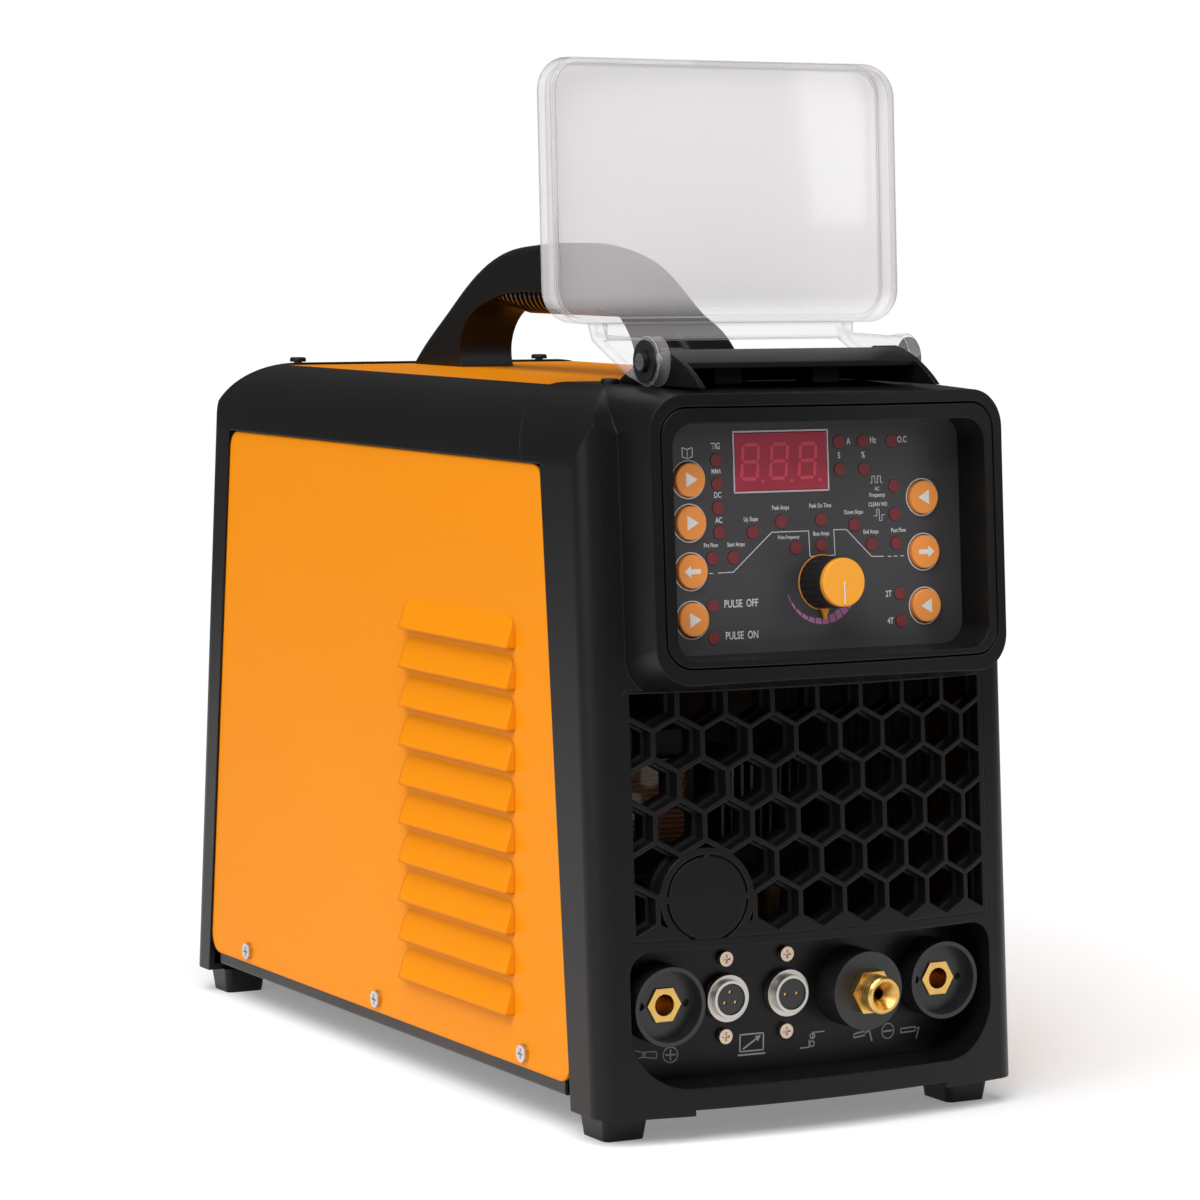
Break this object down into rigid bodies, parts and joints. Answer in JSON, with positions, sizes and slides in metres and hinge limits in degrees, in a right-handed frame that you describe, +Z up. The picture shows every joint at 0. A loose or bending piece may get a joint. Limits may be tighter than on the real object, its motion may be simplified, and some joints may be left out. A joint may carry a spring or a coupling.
{
  "type": "tig welding machine",
  "caption": "Portable inverter TIG welding machine with orange sheet-steel sides, black moulded ends, carrying handle, clear hinged lid and front sockets.",
  "frame": {"origin": "on the floor under the middle of the overall box", "axes": "+X to the right seen from the front, the front faces -Y, +Z up"},
  "size_m": [0.2124, 0.4424, 0.4496],
  "materials": {
    "black_cover": "fine spark texture",
    "black_plain": "smooth satin",
    "black_gloss": "glossy",
    "black_steel": "satin black",
    "black_screw": "blackened",
    "orange_paint": "satin powder coat",
    "orange_plastic": "satin",
    "panel_film": "printed satin film",
    "red_window": "smoked red filter",
    "display_black": "satin",
    "led_lens": "diffuse lens",
    "clear_lid": "clear polycarbonate",
    "screw_steel": "bright zinc plate",
    "nickel": "satin nickel",
    "zinc_yellow": "yellow zinc plate",
    "brass": "turned brass",
    "board_green": "solder resist",
    "aluminium": "extruded",
    "ferrite": "ground ferrite",
    "coil_copper": "lacquered copper wire",
    "hose": "smooth hose"
  },
  "bodies": {
    "casing": {"base_tray": "black_steel", "side_panel_left": "orange_paint", "side_panel_right": "orange_paint", "top_panel": "orange_paint", "corner_rail_left": "black_cover", "corner_rail_right": "black_cover", "front_cover": "black_cover", "control_bezel": "black_cover", "socket_panel": "black_cover", "lid_bracket": "black_cover", "front_grille": "black_cover", "lid_pivots": "screw_steel", "control_panel": "panel_film", "display_window": "red_window", "display_module": "display_black", "status_leds": "led_lens", "control_board": "board_green", "button_switches": "black_plain", "encoder": "screw_steel", "weld_sockets": "black_plain", "weld_socket_inserts": "brass", "control_socket_shells": "nickel", "control_socket_cores": "black_plain", "control_socket_pins": "brass", "control_socket_screws": "zinc_yellow", "gas_outlet_flange": "black_plain", "gas_outlet": "brass", "handle": "black_cover", "handle_grip": "black_gloss", "handle_screws": "screw_steel", "cover_screws": "black_screw", "side_screws": "screw_steel", "rear_cover": "black_cover", "rear_screws": "screw_steel", "fan_guard": "screw_steel", "fan_frame": "black_plain", "power_switch": "black_plain", "mains_gland": "black_plain", "gas_inlet": "brass", "gas_valve": "brass", "gas_hose": "hose", "main_board": "board_green", "heat_sinks": "aluminium", "transformer": "ferrite", "transformer_coil": "coil_copper", "output_choke": "coil_copper", "capacitors": "black_gloss"},
    "lid": {"lid": "clear_lid"},
    "knob": {"current_knob": "black_plain", "knob_cap": "orange_plastic"},
    "rocker": {"power_rocker": "black_gloss"},
    "fan": {"fan_rotor": "black_plain"},
    "plunger": {"valve_plunger": "screw_steel"},
    "mode_key": {"mode_button": "orange_plastic"},
    "output_key": {"output_button": "orange_plastic"},
    "back_key": {"back_button": "orange_plastic"},
    "pulse_key": {"pulse_button": "orange_plastic"},
    "balance_key": {"balance_button": "orange_plastic"},
    "next_key": {"next_button": "orange_plastic"},
    "trigger_key": {"trigger_button": "orange_plastic"}
  },
  "joints": [
    {"name": "lid_hinge", "type": "hinge", "parent": "casing", "child": "lid", "pos_m": [0, -0.167, 0.3223], "axis": [1, 0, 0], "range_deg": [0, 179]},
    {"name": "knob_turn", "type": "hinge", "parent": "casing", "child": "knob", "pos_m": [0.0063, -0.19293, 0.22965], "axis": [0, -0.9976, 0.0698], "continuous": true},
    {"name": "fan_spin", "type": "hinge", "parent": "casing", "child": "fan", "pos_m": [0, 0.181, 0.15], "axis": [0, 1, 0], "continuous": true},
    {"name": "rocker_tilt", "type": "hinge", "parent": "casing", "child": "rocker", "pos_m": [0.062, 0.19789, 0.26187], "axis": [1, 0, 0], "range_deg": [0, 12]},
    {"name": "plunger_lift", "type": "slide", "parent": "casing", "child": "plunger", "axis": [0, 0, 1], "range_m": [0, 0.002], "stiffness_N_per_m": 800},
    {"name": "mode_press", "type": "slide", "parent": "casing", "child": "mode_key", "axis": [0, 0.9976, -0.0698], "range_m": [0, 0.0008], "stiffness_N_per_m": 1500},
    {"name": "output_press", "type": "slide", "parent": "casing", "child": "output_key", "axis": [0, 0.9976, -0.0698], "range_m": [0, 0.0008], "stiffness_N_per_m": 1500},
    {"name": "back_press", "type": "slide", "parent": "casing", "child": "back_key", "axis": [0, 0.9976, -0.0698], "range_m": [0, 0.0008], "stiffness_N_per_m": 1500},
    {"name": "pulse_press", "type": "slide", "parent": "casing", "child": "pulse_key", "axis": [0, 0.9976, -0.0698], "range_m": [0, 0.0008], "stiffness_N_per_m": 1500},
    {"name": "balance_press", "type": "slide", "parent": "casing", "child": "balance_key", "axis": [0, 0.9976, -0.0698], "range_m": [0, 0.0008], "stiffness_N_per_m": 1500},
    {"name": "next_press", "type": "slide", "parent": "casing", "child": "next_key", "axis": [0, 0.9976, -0.0698], "range_m": [0, 0.0008], "stiffness_N_per_m": 1500},
    {"name": "trigger_press", "type": "slide", "parent": "casing", "child": "trigger_key", "axis": [0, 0.9976, -0.0698], "range_m": [0, 0.0008], "stiffness_N_per_m": 1500}
  ]
}
